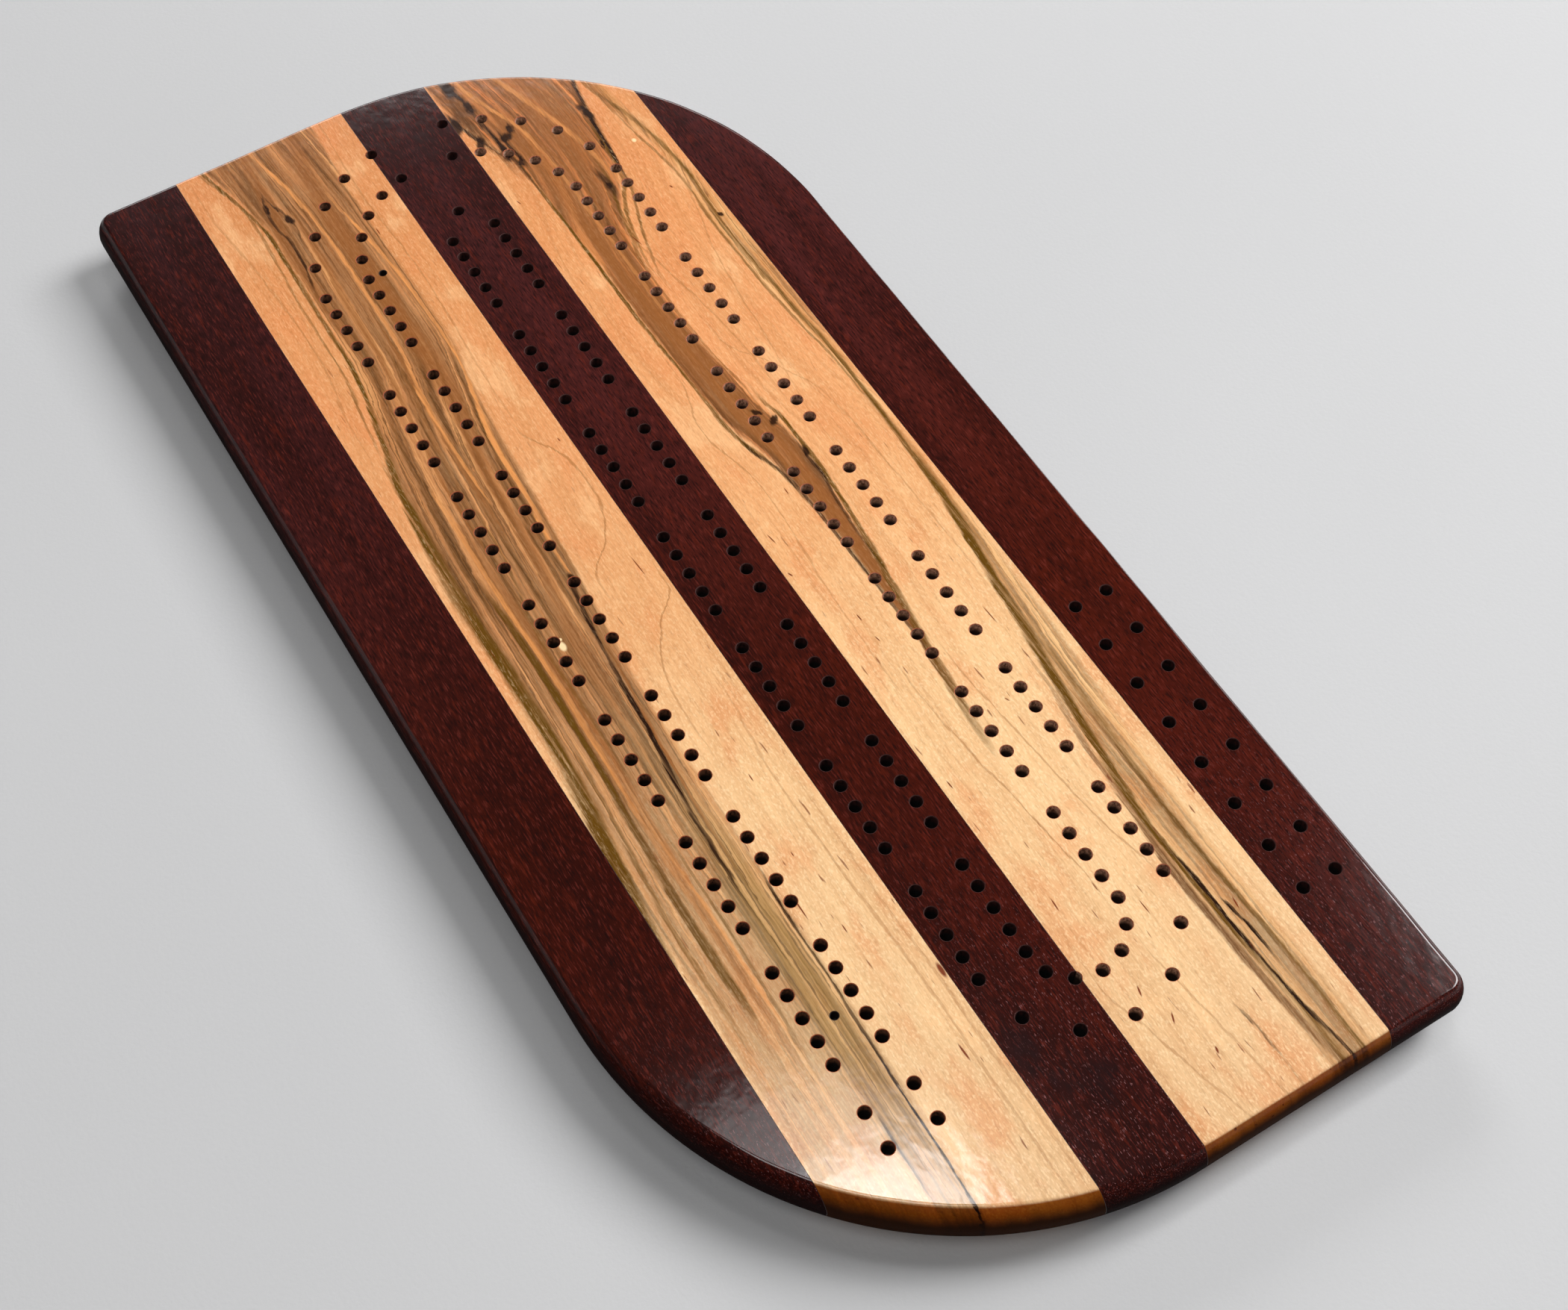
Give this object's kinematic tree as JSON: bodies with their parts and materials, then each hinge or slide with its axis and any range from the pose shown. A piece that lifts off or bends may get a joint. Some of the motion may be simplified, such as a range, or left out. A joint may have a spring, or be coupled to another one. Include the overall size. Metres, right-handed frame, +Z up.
{
  "type": "cribbage board",
  "caption": "Long glued-up hardwood cribbage board, two opposite corners cut as large arcs, drilled peg tracks, rubber feet and a peg store with a swivel cover underneath.",
  "frame": {"origin": "centre of the board's footprint, on the surface that the feet stand on", "axes": "+Y along the board towards the far end with the finish hole, +Z up out of the playing face, +X to the right"},
  "size_m": [0.174, 0.375, 0.0189],
  "materials": {
    "dark_wood": "gloss lacquer over deep red-brown hardwood",
    "light_wood": "gloss lacquer over honey-coloured spalted maple",
    "rubber": "matt black",
    "brass": "satin",
    "steel": "bright"
  },
  "bodies": {
    "board": {"left_edge_strip": "dark_wood", "left_track_strip": "light_wood", "centre_strip": "dark_wood", "right_track_strip": "light_wood", "right_edge_strip": "dark_wood", "foot_far_left": "rubber", "foot_far_right": "rubber", "foot_near_left": "rubber", "foot_near_right": "rubber", "cover_screw": "steel", "peg_brass_1": "brass", "peg_brass_2": "brass", "peg_brass_3": "brass", "peg_steel_1": "steel", "peg_steel_2": "steel", "peg_steel_3": "steel"},
    "cover": {"store_cover": "brass"}
  },
  "joints": [
    {"name": "cover_swivel", "type": "hinge", "parent": "board", "child": "cover", "pos_m": [0.00085, 0.049, 0.0022], "axis": [0, 0, 1], "continuous": true}
  ]
}
